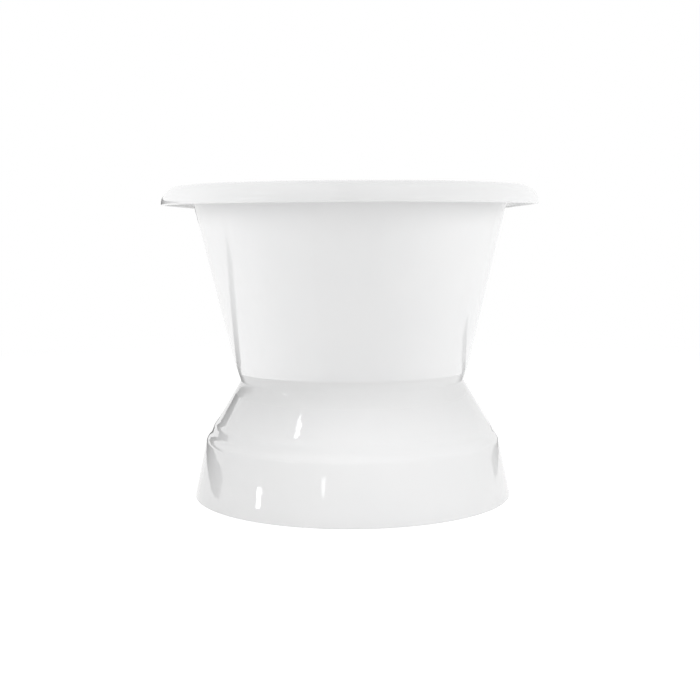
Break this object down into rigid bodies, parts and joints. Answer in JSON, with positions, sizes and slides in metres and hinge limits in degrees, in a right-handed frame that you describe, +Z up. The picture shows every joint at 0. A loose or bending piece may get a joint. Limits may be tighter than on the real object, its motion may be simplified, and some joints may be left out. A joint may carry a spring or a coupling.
{
  "type": "double ended pedestal tub",
  "caption": "Freestanding white bath, both ends sloped alike, with a rolled rim, on a one-piece moulded plinth, with its drain, overflow and push stopper.",
  "frame": {"origin": "on the floor, under the middle of the bath", "axes": "+X along the bath (the picture looks along -X), +Y across it, away from the overflow, +Z up"},
  "size_m": [1.676, 0.762, 0.655],
  "materials": {
    "bath_enamel": "glossy white porcelain enamel",
    "plinth_enamel": "glossy white enamel paint",
    "sealant": "white silicone",
    "pad_rubber": "matte",
    "putty": "matte",
    "zinc_steel": "zinc plated",
    "chrome": "polished",
    "brass": "rough cast and drawn, satin"
  },
  "bodies": {
    "bath": {"tub_shell": "bath_enamel", "pedestal": "plinth_enamel", "joint_sealant": "sealant", "support_pads": "pad_rubber", "base_studs": "zinc_steel", "base_washers": "zinc_steel", "base_nuts": "zinc_steel", "drain_bead": "putty", "drain_flange": "chrome", "drain_gasket": "pad_rubber", "waste_shoe": "brass", "waste_tee": "brass", "shoe_pipe": "brass", "tailpiece": "brass", "overflow_pipe": "brass", "overflow_gasket": "pad_rubber", "overflow_head": "brass", "overflow_plate": "chrome", "overflow_screws": "chrome", "slip_nuts": "brass", "slip_washers": "pad_rubber", "stopper_cartridge": "brass"},
    "stopper": {"stopper_stem": "brass", "stopper_cap": "chrome", "stopper_seal": "pad_rubber"}
  },
  "joints": [
    {"name": "stopper_lift", "type": "slide", "parent": "bath", "child": "stopper", "axis": [0, 0, 1], "range_m": [0, 0.01]}
  ]
}
